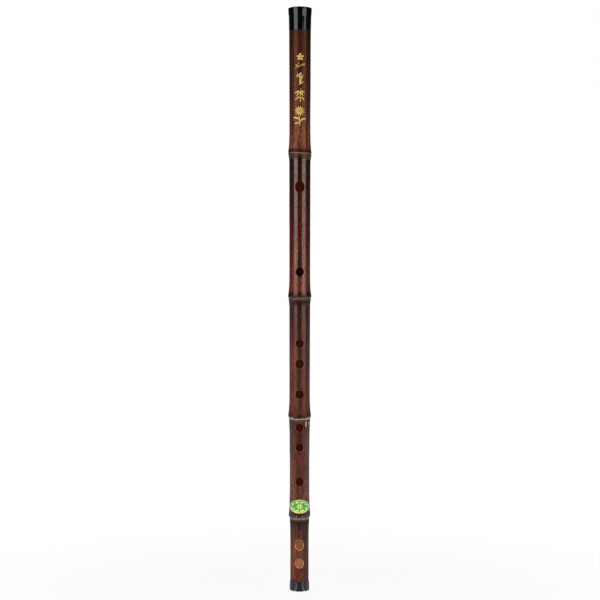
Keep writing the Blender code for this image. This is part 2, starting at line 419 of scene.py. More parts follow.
RAGGEDNESS = 1.6 * MM  # of the marks' edges, which break up along the fibres
dull = 0.0
pooled = 0.0
sides = ease(axes["X"].math("ABSOLUTE"), 4 * MM, 10 * MM)
ragged = (grain(tree, place, 1.2 * MM, 40 * MM, 2.0) - 0.5) * RAGGEDNESS
for node, marks in zip(NODES, NODE_MARKS):
    distance = height - node.height
    loose = distance + ragged
    low, high = marks.band
    band = ease(distance, low - BAND_BLUR, low + EDGE_BLUR)
    band = band * (1 - ease(loose, high - BAND_BLUR, high + BAND_BLUR))
    # Painted shade: a darker ring under each node's foot
    shadow = hill(distance - marks.foot_bottom + SHADOW_DROP, SHADOW_REACH) * marks.shadow
    # The ledge faces down, and its tone is painted shade
    ledge = ease(distance, 0.0, 2 * EDGE_BLUR)
    ledge = ledge * (1 - ease(distance, node.ledge - 4 * EDGE_BLUR, node.ledge - 2 * EDGE_BLUR))
    foot = ease(loose, marks.foot_bottom - EDGE_BLUR, marks.foot_bottom + EDGE_BLUR)
    foot = foot * (1 - ease(distance, 0.0, 2 * EDGE_BLUR))
    scar = ease(distance + ragged * 0.4, marks.bottom - EDGE_BLUR, marks.bottom + EDGE_BLUR)
    scar = scar * (1 - ease(distance - sides * marks.flare, marks.top - EDGE_BLUR, marks.top + EDGE_BLUR))
    colour = mix(shadow, colour, SHADOW_TINT, "MULTIPLY")
    colour = mix(ledge * LEDGE_COVER, colour, marks.ledge)
    colour = mix(band * BAND_COVER, colour, marks.dark)
    colour = mix(foot * LEDGE_COVER, colour, marks.foot)
    colour = mix(scar * ease(fibre, 0.34, 0.5), colour, marks.scar)
    low, high = marks.dull
    thin = ease(distance, low, low / 2) * (1 - ease(distance, high - COAT_BLUR, high + COAT_BLUR))
    dull = dull + thin * DULLING
    pooled = pooled + ledge * marks.pool
evenness = 1.05 + (mottle - 0.5) * 1.6 - spots * 0.7  # of the clear coat
bump = bumped(tree, fibre * 0.5 + fine_fibre * 0.3 + speck * 0.2, 0.6, 0.05 * MM)
close_material(
    tree,
    {
        "Base Color": colour,
        "Roughness": gloss["Green"] + (fine_fibre - 0.5) * 0.2 + dull * 0.15 + spots * 0.15,
        "Specular IOR Level": 0.38,
        "Specular Tint": (1.0, 0.56, 0.32, 1.0),
        "Coat Weight": (gloss["Red"] + pooled) * (1 - dull) * evenness,
        "Coat Roughness": 0.06,
        "Normal": bump,
    },
)

# The drilled walls are stained dark, and paler at the end holes, where the bamboo is left bare
wall, tree, place = material_tree("hole_wall")
axes = tree.axes(place)
fibre = grain(tree, place, 0.5 * MM, 5 * MM)
depth = hypot(axes["X"], axes["Y"])
# The rims below the membrane hole are paler: partly bare wood at the cut edge, partly a painted highlight on
# the rounded lip
rim = ease(depth, 9.4 * MM, 10.2 * MM) * ease(axes["Z"], 340 * MM, 300 * MM)
bare = 1 - ease(axes["Z"], 60 * MM, 70 * MM)
colour = mix(rim * 0.8, seen(50, 16, 8), seen(150, 98, 76))
bare_tone = mix(ease(depth, 8.8 * MM, 9.4 * MM), seen(160, 104, 66), seen(255, 208, 160))
colour = mix(bare, colour, bare_tone)
colour = mix(ease(fibre, 0.45, 0.7) * 0.35, colour, seen(70, 34, 20))
close_material(tree, {"Base Color": colour, "Roughness": 0.5 + (fibre - 0.5) * 0.2})

# The bore is stained dark red down to the end holes, and bare bamboo from there to the tail, painted
# paler towards the tail as the light that comes in at its open end
bore_finish, tree, place = material_tree("bore")
axes = tree.axes(place)
fibre = grain(tree, place, 0.6 * MM, 30 * MM)
bare = 1 - ease(axes["Z"], 62 * MM, 76 * MM)
shade = hill(axes["Z"] - 350 * MM, 30 * MM)
colour = mix(shade * 0.85, seen(112, 38, 15), seen(40, 8, 8))
# Painted light: the bare bamboo is paler towards the tail, for light from the open end
bare_tone = mix(ease(axes["Z"], 34 * MM, 48 * MM), seen(255, 188, 138), seen(226, 158, 102))
colour = mix(bare, colour, bare_tone)
colour = mix(ease(fibre, 0.45, 0.65) * 0.3, colour, seen(80, 30, 16))
close_material(tree, {"Base Color": colour, "Roughness": 0.45 + (fibre - 0.5) * 0.2})

# The rebated ends are bare bamboo, yellow-brown and close-fibred
bare_bamboo, tree, place = material_tree("bare_bamboo")
fibre = grain(tree, place, 0.4 * MM, 20 * MM)
fleck = grain(tree, place, 0.5 * MM, 0.5 * MM)
colour = mix(ease(fibre, 0.35, 0.7), seen(190, 146, 96), seen(142, 98, 58))
colour = mix(ease(fleck, 0.6, 0.7) * 0.6, colour, seen(92, 56, 30))
close_material(tree, {"Base Color": colour, "Roughness": 0.6 + (fibre - 0.5) * 0.2})

# Gold paint in the graver's cuts
gold, tree, place = material_tree("gold_paint")
axes = tree.axes(place)
grit = grain(tree, place, 0.25 * MM, 0.4 * MM)
colour = mix(ease(grit, 0.35, 0.65), seen(180, 126, 46), seen(246, 212, 122))
colour = mix(ease(axes["Z"], 300 * MM, 200 * MM) * 0.8, colour, seen(206, 196, 160))  # the paler ticks
metal = 0.3 + (grit - 0.5) * 0.3
close_material(tree, {"Base Color": colour, "Metallic": metal, "Roughness": 0.4 + (grit - 0.5) * 0.3})

# The sprigs, from head to tail: plum blossom, orchid, bamboo and chrysanthemum. A stroke is drawn
# on the opened-out surface, in mm across and up from its sprig's centre, with its widest half.
SPRIG_SIDE = -0.4  # mm from the front's centre line
STROKE_POINTS = 9
STROKE_DEPTH = 0.35  # of its half width
BLUNTNESS = 0.06  # of a stroke's ends
FULLNESS = 0.75  # under 1, a stroke keeps its width for longer
strokes = []


def stroke(centre, start, bend, end, half_width):
    """A stroke that swells and tapers along a curve drawn towards the point bend."""
    line = []
    for step in range(STROKE_POINTS):
        t = step / (STROKE_POINTS - 1)
        across, up = (
            (1 - t) ** 2 * a + 2 * t * (1 - t) * b + t * t * c for a, b, c in zip(start, bend, end)
        )
        swelling = math.sin(math.pi * (BLUNTNESS + (1 - 2 * BLUNTNESS) * t)) ** FULLNESS
        line.append(((centre[0] + across) * MM, (centre[1] + up) * MM, half_width * swelling * MM))
    strokes.append(line)


def petals(centre, at, count, first, inner, outer, half_width):
    """Short strokes that stand out round a point, like petals."""
    reaches = (inner, (inner + outer) / 2, outer)
    for index in range(count):
        turn = math.radians(first + 360.0 * index / count)
        towards = (math.cos(turn), math.sin(turn))
        stroke(centre, *((at[0] + towards[0] * r, at[1] + towards[1] * r) for r in reaches), half_width)


plum, orchid, bamboo, daisy = [(SPRIG_SIDE, height) for height in (581.4, 561.5, 542.8, 520.6)]
petals(plum, (0.6, 3.4), 5, 90, 0.9, 4.2, 1.25)
petals(plum, (0.6, 3.4), 5, 126, 0.2, 1.3, 0.3)
petals(plum, (-2.6, -6.0), 4, 60, 0.3, 2.1, 0.7)
stroke(plum, (-5.0, -9.4), (-1.6, -6.4), (-0.6, -1.6), 0.55)
stroke(plum, (-3.4, -8.2), (1.0, -6.6), (4.4, -3.4), 0.45)
stroke(plum, (3.6, -5.8), (4.8, -5.0), (5.2, -3.4), 0.7)
for tip_across, tip_up, arch in ((-4.4, 2.4, -1.2), (-2.6, 5.4, -2.2), (1.8, 6.8, 0.2), (4.6, 3.6, 2.2)):
    stroke(orchid, (tip_across * 0.12, -7.0), (arch, 3.6), (tip_across, tip_up), 0.65)
stroke(orchid, (0.9, -6.8), (2.8, -3.2), (4.6, -4.2), 0.55)
petals(orchid, (0.3, 3.6), 5, 18, 0.5, 2.3, 0.55)
stroke(bamboo, (0.9, -7.6), (0.6, -4.6), (0.9, -1.9), 0.5)
stroke(bamboo, (0.9, -1.2), (0.7, 1.8), (1.1, 4.6), 0.5)
stroke(bamboo, (1.1, 5.2), (1.2, 6.6), (1.6, 7.8), 0.4)
for root_across, root_up, tip_across, tip_up in (
    (0.5, 4.9, -5.4, 2.2),
    (0.4, 4.6, -3.2, -0.8),
    (1.7, 4.9, 5.6, 3.0),
    (1.7, 4.4, 3.6, -0.8),
    (0.3, -1.6, -5.0, -4.6),
    (1.4, -1.6, 5.2, -5.4),
):
    bend = ((root_across + tip_across) / 2, (root_up + tip_up) / 2 + 1.0)
    stroke(bamboo, (root_across, root_up), bend, (tip_across, tip_up), 0.8)
petals(daisy, (0.0, 5.2), 12, 15, 1.2, 5.4, 0.66)
petals(daisy, (0.0, 5.2), 6, 0, 0.2, 0.9, 0.3)
stroke(daisy, (0.3, -0.6), (-0.8, -5.0), (0.6, -11.0), 0.6)
stroke(daisy, (-0.4, -4.6), (-3.0, -1.0), (-7.2, -2.2), 0.95)
stroke(daisy, (0.6, -6.4), (3.2, -2.4), (7.4, -3.4), 0.95)
stroke(daisy, (-0.3, -8.2), (-2.8, -6.8), (-5.8, -8.8), 0.75)
TICKS = (7.5, 183.4)  # two short pale strokes beside the fourth finger hole
stroke(TICKS, (0.2, 3.3), (-0.3, 0.4), (0.2, -3.3), 0.75)
stroke(TICKS, (5.2, 2.6), (4.8, 0.4), (5.1, -1.4), 0.75)

# The culm's drawing: a loose point for each hole, and an open line for each stroke
points = []
edges = []
sizes = {"hole_width": [], "hole_length": [], "hole_side": [], "half_width": []}
for side, holes in ((-1.0, FRONT_HOLES), (1.0, BACK_HOLES)):
    for hole in holes:
        points.append((0.0, hole.height, 0.0))
        for name, value in zip(sizes, (hole.width, hole.length, side, 0.0)):
            sizes[name].append(value)
for line in strokes:
    for index, (across, up, half_width) in enumerate(line):
        if index:
            edges.append((len(points) - 1, len(points)))
        points.append((across, up, 0.0))
        for name, value in zip(sizes, (0.0, 0.0, 0.0, half_width)):
            sizes[name].append(value)
drawing = bpy.data.meshes.new("culm_drawing")
drawing.from_pydata(points, edges, [])
for name, values in sizes.items():
    drawing.attributes.new(name, "FLOAT", "POINT").data.foreach_set("value", values)

tree = Tree(bpy.data.node_groups.new("culm_shape", "GeometryNodeTree"))
marks = tree.take("Geometry", "NodeSocketGeometry")
facets = tree.take("Facets", "NodeSocketInt")
rings = tree.take("Rings", "NodeSocketInt")
body_bottom = tree.take("Body bottom", "NodeSocketFloat")
body_top = tree.take("Body top", "NodeSocketFloat")
head_end = tree.take("Head end", "NodeSocketFloat")
head_spigot = tree.take("Head spigot", "NodeSocketFloat")
tail_spigot = tree.take("Tail spigot", "NodeSocketFloat")
head_bore = tree.take("Head bore", "NodeSocketFloat")
tail_bore = tree.take("Tail bore", "NodeSocketFloat")
lip = tree.take("Hole lip", "NodeSocketFloat")
groove_depth = tree.take("Groove depth", "NodeSocketFloat")
FINISHES = (lacquer, wall, bore_finish, bare_bamboo, gold)


def attribute(name, kind="FLOAT"):
    return tree.add("GeometryNodeInputNamedAttribute", {"data_type": kind}, {"Name": name})["Attribute"]


def spot(x, y, z):
    return tree.add("ShaderNodeCombineXYZ", {}, {"X": x, "Y": y, "Z": z})["Vector"]


def coordinates(vector=None):
    vector = vector or tree.add("GeometryNodeInputPosition")["Position"]
    axes = tree.axes(vector)
    return axes["X"], axes["Y"], axes["Z"]


def moved(geometry, place):
    return tree.add("GeometryNodeSetPosition", {}, {"Geometry": geometry, "Position": place})["Geometry"]


def marked(geometry, finish):
    """Its faces numbered for a finish, which the cuts and joins keep."""
    values = {"Geometry": geometry, "Name": "finish", "Value": FINISHES.index(finish)}
    settings = {"data_type": "INT", "domain": "FACE"}
    return tree.add("GeometryNodeStoreNamedAttribute", settings, values)["Geometry"]


def rod(radius, bottom, top, top_radius=None):
    """A round bar on the axis between two heights."""
    values = {"Vertices": facets, "Side Segments": 1, "Depth": top - bottom}
    values |= {"Radius Bottom": radius, "Radius Top": top_radius or radius}
    made = tree.add("GeometryNodeMeshCone", {"fill_type": "NGON"}, values)["Mesh"]
    shift = {"Geometry": made, "Translation": spot(0.0, 0.0, bottom)}
    return tree.add("GeometryNodeTransform", {}, shift)["Geometry"]


# The body: rings packed closely at the nodes, then each ring at its radius, and the nodes' lean.
# The wood is a little uneven, and scraping the skin has left long shallow flats: for each of the
# two, its size, how finely it changes round the culm, its length along it, and its detail.
RING_PACKING = 0.85
PACKED_REACH = 6 * MM
UNEVENNESS = ((0.09 * MM, 0.9, 45 * MM, 2.0), (0.05 * MM, 4.5, 22 * MM, 1.0))
values = {"Vertices": facets, "Side Segments": rings, "Radius": 1.0, "Depth": body_top - body_bottom}
body = tree.add("GeometryNodeMeshCylinder", {"fill_type": "NGON"}, values)["Mesh"]
x, y, z = coordinates()
angle = x.math("ARCTAN2", -y)
level = z + (body_top + body_bottom) / 2
for node in NODES:
    distance = level - node.height
    level = level - RING_PACKING * distance * hill(distance, PACKED_REACH)
radius = culm_radius(level)
for size, fineness, length, detail in UNEVENNESS:
    values = {"Vector": spot(x * fineness, y * fineness, level / length), "Scale": 1.0, "Detail": detail}
    radius = radius + (tree.add("ShaderNodeTexNoise", {}, values)["Fac"] - 0.5) * (2 * size)
raised = level
for node in NODES:
    raised = raised + scar_lean(angle, node) * hill(level - node.height, LEAN_REACH)
body = moved(body, spot(radius * angle.math("SINE"), -radius * angle.math("COSINE"), raised))
body = marked(body, lacquer)

overlap = 5 * MM  # of the spigots into the body, and of the bore past both ends
head = marked(rod(head_spigot / 2, body_top - overlap, head_end), bare_bamboo)
tail = marked(rod(tail_spigot / 2, 0.0, body_bottom + overlap), bare_bamboo)
bore = marked(rod(tail_bore / 2, -overlap, head_end + overlap, head_bore / 2), bore_finish)

# A hole's cutter: an oval bar out of the bore, whose outer rings round over the culm's own curve
values = {"Geometry": marks, "Selection": attribute("hole_width")}
hole_points = tree.add("GeometryNodeSeparateGeometry", {"domain": "POINT"}, values)["Selection"]
values = {"Vertices": HOLE_FACETS, "Side Segments": LIP_STEPS + 2, "Radius": 1.0, "Depth": 1.0}
bar = tree.add("GeometryNodeMeshCylinder", {"fill_type": "NGON"}, values)["Mesh"]
values = {"Geometry": bar, "Name": "local", "Value": tree.add("GeometryNodeInputPosition")["Position"]}
bar = tree.add("GeometryNodeStoreNamedAttribute", {"data_type": "FLOAT_VECTOR"}, values)["Geometry"]
_, hole_height, _ = coordinates()
values = {"Geometry": hole_points, "Name": "hole_height", "Value": hole_height}
hole_points = tree.add("GeometryNodeStoreNamedAttribute", {}, values)["Geometry"]
bars = tree.add("GeometryNodeInstanceOnPoints", {}, {"Points": hole_points, "Instance": bar})["Instances"]
bars = tree.add("GeometryNodeRealizeInstances", {}, {"Geometry": bars})["Geometry"]
unit_across, unit_up, unit_out = coordinates(attribute("local", "FLOAT_VECTOR"))
ring = (unit_out + 0.5) * (LIP_STEPS + 2)
turn = ease(ring, 1.0, LIP_STEPS + 1.0) * LIP_TURN
outside = past(ring, LIP_STEPS + 1.5)
from_axis = past(ring, 0.5)
spread = lip * (1 - turn.math("COSINE")) + outside * BAR_FLARE
rise = -lip * (math.sin(LIP_TURN) - turn.math("SINE"))
across = unit_across * (attribute("hole_width") / 2 + spread)
up = attribute("hole_height") + unit_up * (attribute("hole_length") / 2 + spread)
radius = culm_radius(up)
out = (radius * radius - across * across).math("SQRT") + rise
out = (1 - outside) * out + outside * BAR_END
inner = (1 - from_axis) * BAR_START
side = attribute("hole_side")  # 1 behind and -1 in front: a bar behind is turned, not mirrored
bars = moved(bars, spot(-side * across, side * (out * from_axis + inner), up))
bars = marked(bars, wall)

# The graver's cuts: a swelling tube along each stroke, flattened and wrapped round the culm
lines = tree.add("GeometryNodeMeshToCurve", {}, {"Mesh": marks})["Curve"]
profile = tree.add("GeometryNodeCurvePrimitiveCircle", {}, {"Resolution": 8, "Radius": 1.0})["Curve"]
values = {"Curve": lines, "Profile Curve": profile, "Scale": attribute("half_width"), "Fill Caps": True}
cuts = tree.add("GeometryNodeCurveToMesh", {}, values)["Mesh"]
x, y, z = coordinates()
wrap = culm_radius(y)
radius = wrap + z * groove_depth
cuts = moved(cuts, spot(radius * (x / wrap).math("SINE"), -radius * (x / wrap).math("COSINE"), y))
cuts = marked(cuts, gold)

# The spigots are joined to the body, and the bore, the holes and the graver's cuts taken out of it
joined = {"operation": "UNION", "solver": "MANIFOLD"}
taken = {"operation": "DIFFERENCE", "solver": "MANIFOLD"}
whole = tree.add("GeometryNodeMeshBoolean", joined, {"Mesh": [body, head, tail]})["Mesh"]
cutters = tree.add("GeometryNodeJoinGeometry", {}, {"Geometry": [bars, cuts]})["Geometry"]
whole = tree.add("GeometryNodeMeshBoolean", taken, {"Mesh 1": whole, "Mesh 2": bore})["Mesh"]
whole = tree.add("GeometryNodeMeshBoolean", taken, {"Mesh 1": whole, "Mesh 2": cutters})["Mesh"]
whole = tree.add("GeometryNodeRealizeInstances", {}, {"Geometry": whole})["Geometry"]
for number, finish in enumerate(FINISHES):
    values = {"Geometry": whole, "Material": finish}
    if number:  # the first finish goes on every face
        values["Selection"] = attribute("finish", "INT").math("COMPARE", number, 0.5)
    whole = tree.add("GeometryNodeSetMaterial", {}, values)["Geometry"]
tree.give(whole)


def grown(name, drawing, tree, sizes):
    """The plain object that a geometry tree makes of a drawing, with the tree's named sizes."""
    sketch = bpy.data.objects.new(name + "_drawing", drawing)
    bpy.context.scene.collection.objects.link(sketch)
    modifier = sketch.modifiers.new("shape", "NODES")
    modifier.node_group = tree.tree
    for item in tree.tree.interface.items_tree:
        if item.name in sizes:
            modifier[item.identifier] = sizes[item.name]
    graph = bpy.context.evaluated_depsgraph_get()
    mesh = bpy.data.meshes.new_from_object(sketch.evaluated_get(graph))
    bpy.data.objects.remove(sketch)
    if mesh.materials[0] is None:  # the slot of the drawing, which no face uses
        mesh.materials.pop(index=0)
    return piece_of(name, mesh)


def piece_of(name, mesh, sharp=35):
    """A finished piece, smooth but for edges sharper than an angle in degrees."""
    mesh.name = name
    mesh.shade_smooth()
    mesh.set_sharp_from_angle(angle=math.radians(sharp))
    piece = bpy.data.objects.new(name, mesh)
    bpy.context.scene.collection.objects.link(piece)
    return piece


culm = grown(
    "lacquered_culm",
    drawing,
    tree,
    {
        "Facets": CULM_FACETS,
        "Rings": CULM_RINGS,
        "Body bottom": RING_EDGE + GAP,
        "Body top": CAP_EDGE - GAP,
        "Head end": HEAD_END,
        "Head spigot": HEAD_SPIGOT,
        "Tail spigot": TAIL_SPIGOT,
        "Head bore": HEAD_BORE,
        "Tail bore": TAIL_BORE,
        "Hole lip": HOLE_LIP,
        "Groove depth": STROKE_DEPTH,
    },
)
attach(culm, "flute")
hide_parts("bamboo_tube")


# The head cap is black horn turned on a lathe: closed at the head end, where it flares to a rounded
# rim round a shallow dish, and bored to push on over the culm's rebate.
CAP_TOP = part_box("head_cap")[1].z
CAP_MOUTH = 24.1 * MM  # diameters
CAP_WAIST = 24.65 * MM
CAP_RIM = 26.0 * MM
CAP_RIM_ROUND = 0.55 * MM
CAP_FLARE = 11 * MM  # length over which the cap widens to its rim
CAP_END_WALL = 3.0 * MM
CAP_DISH = 0.45 * MM
CAP_DISH_RADIUS = 9.6 * MM
EDGE_BREAK = 0.25 * MM  # chamfer on turned edges
LATHE_PITCH = 0.35 * MM  # between the marks of the turning tool
MERGED = 0.001 * MM  # nearer than this, points are one
TURNED_FACETS = 128
ROUND_STEPS = 8
FLARE_STEPS = 20


def quarter(centre_radius, centre_height, size, start, end):
    """Points of a round in an outline, from one angle to another, in degrees."""
    points = []
    for step in range(ROUND_STEPS + 1):
        turn = math.radians(start + (end - start) * step / ROUND_STEPS)
        points.append((centre_radius + size * math.cos(turn), centre_height + size * math.sin(turn)))
    return points


def turned(name, outline, material, sharp=35):
    """A closed turned piece, from an outline of (radius, height) points that begins on the axis or
    closes on itself."""
    bm = bmesh.new()
    verts = [bm.verts.new((radius, 0.0, up)) for radius, up in outline]
    pairs = list(zip(verts, verts[1:]))
    if outline[0][0] > 0.0:
        pairs.append((verts[-1], verts[0]))
    edges = [bm.edges.new(pair) for pair in pairs]
    spun = {"cent": (0, 0, 0), "axis": (0, 0, 1), "angle": 2 * math.pi, "steps": TURNED_FACETS}
    bmesh.ops.spin(bm, geom=verts + edges, **spun)
    bmesh.ops.remove_doubles(bm, verts=bm.verts, dist=MERGED)
    bmesh.ops.recalc_face_normals(bm, faces=bm.faces)
    mesh = bpy.data.meshes.new(name)
    bm.to_mesh(mesh)
    bm.free()
    mesh.materials.append(material)
    return piece_of(name, mesh, sharp)


black_horn, tree, place = material_tree("polished_black_horn")
axes = tree.axes(place)
strand = grain(tree, place, 0.8 * MM, 18 * MM)
scuff = grain(tree, place, 0.5 * MM, 2 * MM, 4.0)
radius = hypot(axes["X"], axes["Y"])
lathe_mark = ((axes["Z"] + radius) * (2 * math.pi / LATHE_PITCH)).math("SINE")
colour = mix(ease(strand, 0.4, 0.75), seen(1, 1, 3), seen(7, 6, 8))
roughness = 0.08 + ease(scuff, 0.5, 0.8) * 0.1
bump = bumped(tree, lathe_mark, 0.25, 0.004 * MM)
close_material(tree, {"Base Color": colour, "Roughness": roughness, "Normal": bump})

rim = CAP_RIM / 2
waist = CAP_WAIST / 2
rim_base = CAP_TOP - CAP_RIM_ROUND
cavity = HEAD_SPIGOT / 2 + GAP
outline = [(0.0, CAP_TOP - CAP_DISH)]
outline += [(CAP_DISH_RADIUS * 0.8, CAP_TOP - CAP_DISH * 0.9), (CAP_DISH_RADIUS, CAP_TOP)]
outline += quarter(rim - CAP_RIM_ROUND, rim_base, CAP_RIM_ROUND, 90, 0)
for step in range(1, FLARE_STEPS + 1):
    share = 1 - step / FLARE_STEPS
    outline.append((waist + (rim - waist) * ease(share, 0.0, 1.0), rim_base - CAP_FLARE * (1 - share)))
outline += [(CAP_MOUTH / 2, CAP_EDGE + EDGE_BREAK), (CAP_MOUTH / 2 - EDGE_BREAK, CAP_EDGE)]
outline += [(cavity + EDGE_BREAK, CAP_EDGE), (cavity, CAP_EDGE + EDGE_BREAK)]
outline += [(cavity, CAP_TOP - CAP_END_WALL), (0.0, CAP_TOP - CAP_END_WALL)]
cap = turned("horn_cap", outline, black_horn)
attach(cap, "cap")
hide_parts("head_cap")


# The tail ring is a ferrule of the same horn, open at both ends and glued on the culm's rebate. It
# flares to a rounded rim that the flute stands on, and handling has dulled it to slate.
RING_NECK = 20.7 * MM
RING_RIM = 21.8 * MM
RING_RIM_ROUND = 1.65 * MM

dull_horn, tree, place = material_tree("dulled_black_horn")
axes = tree.axes(place)
strand = grain(tree, place, 0.8 * MM, 12 * MM)
scuff = grain(tree, place, 0.7 * MM, 1.4 * MM, 4.0)
lathe_mark = (axes["Z"] * (2 * math.pi / LATHE_PITCH)).math("SINE")
colour = mix(ease(strand, 0.35, 0.7), seen(16, 17, 22), seen(36, 38, 44))
colour = mix(ease(scuff, 0.55, 0.75) * 0.5, colour, seen(58, 60, 66))
roughness = 0.28 + ease(scuff, 0.5, 0.8) * 0.2
bump = bumped(tree, lathe_mark, 0.25, 0.005 * MM)
close_material(tree, {"Base Color": colour, "Roughness": roughness, "Normal": bump})

bore = TAIL_SPIGOT / 2 + GAP
outline = [(bore, RING_EDGE - EDGE_BREAK), (bore + EDGE_BREAK, RING_EDGE)]
outline += [(RING_NECK / 2 - EDGE_BREAK, RING_EDGE), (RING_NECK / 2, RING_EDGE - EDGE_BREAK)]
outline += quarter(RING_RIM / 2 - RING_RIM_ROUND, RING_RIM_ROUND, RING_RIM_ROUND, 0, -90)
outline += [(bore + EDGE_BREAK, 0.0), (bore, EDGE_BREAK)]
ring = turned("horn_tail_ring", outline, dull_horn)
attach(ring, "flute")
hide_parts("tail_ring")


# The stopper is a plug cut from bark cork, chamfered at both ends and pushed down the head bore to
# a little above the blow hole. Its skin keeps the cork's own pits.
STOPPER_CHAMFER = 0.8 * MM
CORK_STEPS = 28
PIT_DEPTH = 0.12 * MM
PIT_SIZE = 1.6 * MM
PIT_LEVEL = 0.25  # of the noise, over which a pit begins
PIT_SLOPE = 4

cork_bark, tree, place = material_tree("bark_cork")
cell = grain(tree, place, 0.5 * MM, 0.5 * MM)
vein = grain(tree, place, 1.6 * MM, 1.2 * MM, 4.0)
colour = mix(ease(cell, 0.35, 0.65), seen(168, 122, 78), seen(204, 160, 112))
colour = mix(ease(vein, 0.58, 0.68) * 0.7, colour, seen(92, 58, 34))
bump = bumped(tree, cell, 0.5, 0.1 * MM)
roughness = 0.85 + (cell - 0.5) * 0.1
close_material(tree, {"Base Color": colour, "Roughness": roughness, "Normal": bump})

cork_low, cork_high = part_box("stopper")
radius = cork_high.x
span = cork_high.z - cork_low.z - 2 * STOPPER_CHAMFER
outline = [(0.0, cork_high.z), (radius / 2, cork_high.z), (radius - STOPPER_CHAMFER, cork_high.z)]
for step in range(CORK_STEPS + 1):
    outline.append((radius, cork_high.z - STOPPER_CHAMFER - span * step / CORK_STEPS))
outline += [(radius - STOPPER_CHAMFER, cork_low.z), (radius / 2, cork_low.z), (0.0, cork_low.z)]
cork = turned("cork_stopper", outline, cork_bark, 50)
for vertex in cork.data.vertices:
    sunk = noise.noise(vertex.co / PIT_SIZE) - PIT_LEVEL
    if sunk > 0.0:
        vertex.co -= vertex.normal * PIT_DEPTH * min(1.0, sunk * PIT_SLOPE)
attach(cork, "cork")
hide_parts("stopper")


# The sticker is an oval of printed green foil, glued with its long side round the culm's front. Its
# print is a plain one: a cream border, a wreath of small leaves and a rosette, on a fine lattice.
LABEL_HEIGHT = 93.3 * MM
LABEL_WIDTH = 29 * MM  # measured round the culm
LABEL_LENGTH = 15.2 * MM
LABEL_GAP = 0.16 * MM
LABEL_THICKNESS = 0.12 * MM
LABEL_COLUMNS = 72
LABEL_ROWS = 28
LABEL_RADIUS = culm_radius(LABEL_HEIGHT)
WIDEST_TURN = LABEL_WIDTH / 2 / LABEL_RADIUS  # how far round the label's ends lie from the front
LATTICE_PITCH = 1.6  # this and the sizes below are in mm
BORDER_WIDTH = 0.85  # at the top, from where it grows towards the bottom
BORDER_GROWTH = 0.6
OUTER_LINE = 0.25
WREATH_INSET = 2.9  # from the label's edge to the middle of the leaves
LEAF_HALF_WIDTH = 0.95
LEAF_SLANT = 1.6
VEIN_HALF_WIDTH = 0.15
ROSETTE_RADIUS = 2.4
PETAL_SWING = 0.8  # by which a petal's tip stands out
ROSETTE_EYE = 0.9
LEAVES = 8
PETALS = 6
LATTICE_LINE = 0.14  # its lines are where the lattice's wave, of up to 1, is below this
LINE_BLUR = 0.08  # how softly a fine line ends

foil, tree, place = material_tree("printed_foil")
flat = tree.add("ShaderNodeUVMap", {"uv_map": "flat"})["UV"]
axes = tree.axes(flat)
across = (axes["X"] - 0.5) * LABEL_WIDTH / MM  # in mm from the centre
up = (axes["Y"] - 0.5) * LABEL_LENGTH / MM
oval_x = (across * (MM / LABEL_RADIUS)).math("SINE") / math.sin(WIDEST_TURN)
oval_y = (axes["Y"] - 0.5) * 2.0
edge = hypot(oval_x, oval_y)  # 1 at the label's edge
centre = hypot(across, up)
margin = centre / edge - centre  # mm in from the edge, towards the centre


def inside(distance, size, blur=LINE_BLUR):
    return 1 - ease(distance, size - blur, size + blur)


# The green field is painted lighter towards the bottom and in soft darker patches, as the foil's sheen
field = mix(ease(up, -5.0, 3.0), seen(62, 206, 50), seen(22, 176, 56))
field = mix(ease(grain(tree, place, 3 * MM, 3 * MM), 0.4, 0.6) * 0.6, field, seen(14, 128, 30))
slant = (across + up) * (math.pi / LATTICE_PITCH)
back_slant = (across - up) * (math.pi / LATTICE_PITCH)
lattice = (slant.math("SINE") * back_slant.math("SINE")).math("ABSOLUTE")
field = mix(inside(lattice, LATTICE_LINE) * 0.4, field, seen(150, 220, 110))
petal = (up.math("ARCTAN2", across) * PETALS).math("COSINE") * PETAL_SWING
rosette = inside(centre - petal, ROSETTE_RADIUS, 0.15)
leaf_place = (oval_y.math("ARCTAN2", oval_x) * (LEAVES / (2 * math.pi))).math("FRACT") - 0.5
leaf_side = (margin - WREATH_INSET - leaf_place * LEAF_SLANT).math("ABSOLUTE")
leaf = inside(leaf_side + leaf_place * leaf_place * (4 * LEAF_HALF_WIDTH), LEAF_HALF_WIDTH, 0.12)
cream = mix(ease(up, 0.0, 7.0), seen(250, 252, 204), seen(206, 242, 136))
cream = mix(ease(up, -7.2, -5.0), seen(236, 208, 74), cream)
border = inside(margin, BORDER_GROWTH * ease(up, 3.0, -5.0) + BORDER_WIDTH, 0.1)
print_colour = mix(leaf, field, seen(250, 252, 188))
print_colour = mix(inside(leaf_side, VEIN_HALF_WIDTH) * leaf, print_colour, seen(224, 140, 56))
print_colour = mix(rosette, print_colour, seen(246, 242, 166))
print_colour = mix(inside(centre, ROSETTE_EYE, 0.15), print_colour, seen(218, 96, 40))
print_colour = mix(border, print_colour, cream)
print_colour = mix(inside(margin, OUTER_LINE), print_colour, seen(70, 166, 70))
wear = grain(tree, place, 0.4 * MM, 0.4 * MM)
close_material(
    tree,
    {
        "Base Color": print_colour,
        "Metallic": 0.15 - border * 0.12,
        "Roughness": 0.36 + (wear - 0.5) * 0.2,
        "Coat Weight": 0.4,
        "Coat Roughness": 0.15,
    },
)

